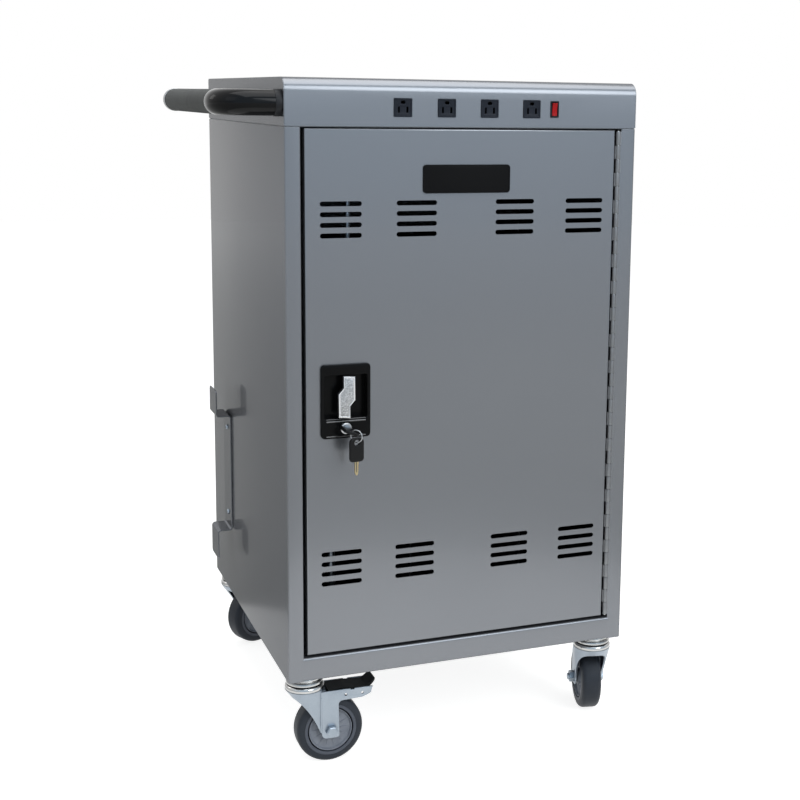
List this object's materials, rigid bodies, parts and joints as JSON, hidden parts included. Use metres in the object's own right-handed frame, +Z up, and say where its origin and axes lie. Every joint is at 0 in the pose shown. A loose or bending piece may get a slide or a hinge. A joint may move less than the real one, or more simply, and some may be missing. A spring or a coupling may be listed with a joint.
{
  "type": "laptop charging cart",
  "caption": "Rolling steel cabinet with a hinged, lockable, vented front door, device slots inside, top mains sockets, a side push handle, cord hooks and swivel casters.",
  "frame": {"origin": "on the floor, under the middle of the box around the whole cart", "axes": "+X to the right and +Y to the back as seen from the front door, +Z up"},
  "size_m": [0.6413, 0.6272, 1.0148],
  "materials": {
    "body_paint": "fine metallic grey powder coat, satin",
    "inner_paint": "grey powder coat, satin",
    "divider_plastic": "matt dark moulding",
    "black_plastic": "fine-grained black moulding",
    "badge_black": "satin black, bare",
    "pedal_black": "black coated steel",
    "red_plastic": "translucent red, gloss",
    "gloss_black": "high-gloss black moulding",
    "grip_foam": "matt closed-cell foam",
    "key_plastic": "black key head",
    "lock_chrome": "cast, fine textured plating",
    "zinc": "bright zinc plating",
    "hinge_steel": "plated, painted over",
    "wheel_rubber": "grey rubber tread on a moulded grey hub"
  },
  "bodies": {
    "cabinet": {"left_side_panel": "body_paint", "right_side_panel": "body_paint", "bottom_pan": "body_paint", "top_cap": "body_paint", "ceiling_panel": "inner_paint", "partition_panel": "inner_paint", "mid_shelf": "inner_paint", "lower_divider_rack": "divider_plastic", "upper_divider_rack": "divider_plastic", "front_outlet_1": "black_plastic", "front_outlet_2": "black_plastic", "front_outlet_3": "black_plastic", "front_outlet_4": "black_plastic", "switch_bezel": "black_plastic", "lower_power_strip": "black_plastic", "upper_power_strip": "black_plastic", "power_inlet": "black_plastic", "handle_front_elbow": "gloss_black", "handle_rear_elbow": "gloss_black", "handle_tube": "zinc", "handle_grip": "grip_foam", "cord_hook_bracket": "body_paint", "lower_hook_screw": "zinc", "upper_hook_screw": "zinc", "front_hinge_frame_leaf": "hinge_steel", "front_hinge_pin": "hinge_steel", "front_left_caster_head": "zinc", "front_right_caster_head": "zinc", "rear_left_caster_head": "zinc", "rear_right_caster_head": "zinc"},
    "front_door": {"front_door": "body_paint", "badge_plate": "badge_black", "front_hinge_door_leaf": "hinge_steel", "lock_escutcheon": "black_plastic"},
    "lock_lever": {"lock_lever": "lock_chrome", "lock_cam": "zinc"},
    "upper_rod": {"upper_lock_rod": "zinc"},
    "lower_rod": {"lower_lock_rod": "zinc"},
    "lock_plug": {"lock_cylinder": "lock_chrome", "lock_key": "key_plastic"},
    "key_ring": {"key_ring": "zinc", "spare_key": "key_plastic"},
    "rear_door": {"rear_door": "body_paint"},
    "rear_lock": {"rear_cam_lock": "lock_chrome"},
    "rocker": {"switch_rocker": "red_plastic"},
    "front_left_swivel": {"front_left_caster_fork": "zinc", "front_left_caster_axle": "zinc"},
    "front_left_wheel": {"front_left_caster_wheel": "wheel_rubber"},
    "front_left_pedal": {"front_left_brake_pedal": "pedal_black"},
    "front_right_swivel": {"front_right_caster_fork": "zinc", "front_right_caster_axle": "zinc"},
    "front_right_wheel": {"front_right_caster_wheel": "wheel_rubber"},
    "rear_left_swivel": {"rear_left_caster_fork": "zinc", "rear_left_caster_axle": "zinc"},
    "rear_left_wheel": {"rear_left_caster_wheel": "wheel_rubber"},
    "rear_left_pedal": {"rear_left_brake_pedal": "pedal_black"},
    "rear_right_swivel": {"rear_right_caster_fork": "zinc", "rear_right_caster_axle": "zinc"},
    "rear_right_wheel": {"rear_right_caster_wheel": "wheel_rubber"}
  },
  "joints": [
    {"name": "front_door_hinge", "type": "hinge", "parent": "cabinet", "child": "front_door", "pos_m": [0.28548, -0.27197, 0.5608], "axis": [0, 0, 1], "range_deg": [0, 170]},
    {"name": "rear_door_hinge", "type": "hinge", "parent": "cabinet", "child": "rear_door", "pos_m": [0.27623, 0.26753, 0.5608], "axis": [0, 0, -1], "range_deg": [0, 110]},
    {"name": "lever_turn", "type": "hinge", "parent": "front_door", "child": "lock_lever", "pos_m": [-0.13977, -0.27147, 0.5651], "axis": [0, -1, 0], "range_deg": [0, 90]},
    {"name": "upper_rod_slide", "type": "slide", "parent": "front_door", "child": "upper_rod", "axis": [0, 0, 1], "range_m": [0, 0.0135]},
    {"name": "lower_rod_slide", "type": "slide", "parent": "front_door", "child": "lower_rod", "axis": [0, 0, -1], "range_m": [0, 0.0135]},
    {"name": "key_turn", "type": "hinge", "parent": "front_door", "child": "lock_plug", "pos_m": [-0.13977, -0.27147, 0.5188], "axis": [0, -1, 0], "range_deg": [0, 90]},
    {"name": "key_ring_swing", "type": "hinge", "parent": "lock_plug", "child": "key_ring", "pos_m": [-0.13426, -0.30998, 0.5188], "axis": [0.7071, 0.7071, 0], "range_deg": [-15, 15]},
    {"name": "rear_lock_turn", "type": "hinge", "parent": "rear_door", "child": "rear_lock", "pos_m": [-0.17977, 0.26853, 0.5608], "axis": [0, -1, 0], "range_deg": [0, 90]},
    {"name": "switch_rock", "type": "hinge", "parent": "cabinet", "child": "rocker", "pos_m": [0.17953, -0.27147, 0.975], "axis": [-1, 0, 0], "range_deg": [0, 13.75]},
    {"name": "front_left_swivel_turn", "type": "hinge", "parent": "cabinet", "child": "front_left_swivel", "pos_m": [-0.19377, -0.23647, 0.1258], "axis": [0, 0, 1], "continuous": true},
    {"name": "front_left_wheel_spin", "type": "hinge", "parent": "front_left_swivel", "child": "front_left_wheel", "pos_m": [-0.15777, -0.23647, 0.0508], "axis": [0, 1, 0], "continuous": true},
    {"name": "front_left_pedal_press", "type": "hinge", "parent": "front_left_swivel", "child": "front_left_pedal", "pos_m": [-0.13177, -0.23647, 0.1088], "axis": [0, 1, 0], "range_deg": [0, 8]},
    {"name": "front_right_swivel_turn", "type": "hinge", "parent": "cabinet", "child": "front_right_swivel", "pos_m": [0.28223, -0.23647, 0.1258], "axis": [0, 0, 1], "continuous": true},
    {"name": "front_right_wheel_spin", "type": "hinge", "parent": "front_right_swivel", "child": "front_right_wheel", "pos_m": [0.29033, -0.20139, 0.0508], "axis": [-0.9744, 0.225, 0], "continuous": true},
    {"name": "rear_left_swivel_turn", "type": "hinge", "parent": "cabinet", "child": "rear_left_swivel", "pos_m": [-0.19377, 0.24853, 0.1258], "axis": [0, 0, 1], "continuous": true},
    {"name": "rear_left_wheel_spin", "type": "hinge", "parent": "rear_left_swivel", "child": "rear_left_wheel", "pos_m": [-0.16114, 0.26375, 0.0508], "axis": [-0.4226, 0.9063, 0], "continuous": true},
    {"name": "rear_left_pedal_press", "type": "hinge", "parent": "rear_left_swivel", "child": "rear_left_pedal", "pos_m": [-0.13758, 0.27474, 0.1088], "axis": [-0.4226, 0.9063, 0], "range_deg": [0, 8]},
    {"name": "rear_right_swivel_turn", "type": "hinge", "parent": "cabinet", "child": "rear_right_swivel", "pos_m": [0.28223, 0.24853, 0.1258], "axis": [0, 0, 1], "continuous": true},
    {"name": "rear_right_wheel_spin", "type": "hinge", "parent": "rear_right_swivel", "child": "rear_right_wheel", "pos_m": [0.27474, 0.21332, 0.0508], "axis": [0.9781, -0.2079, 0], "continuous": true}
  ],
  "couplings": [
    {"joint": "upper_rod_slide", "follows": "lever_turn", "m_per_rad": 0.0085944},
    {"joint": "lower_rod_slide", "follows": "lever_turn", "m_per_rad": 0.0085944}
  ]
}
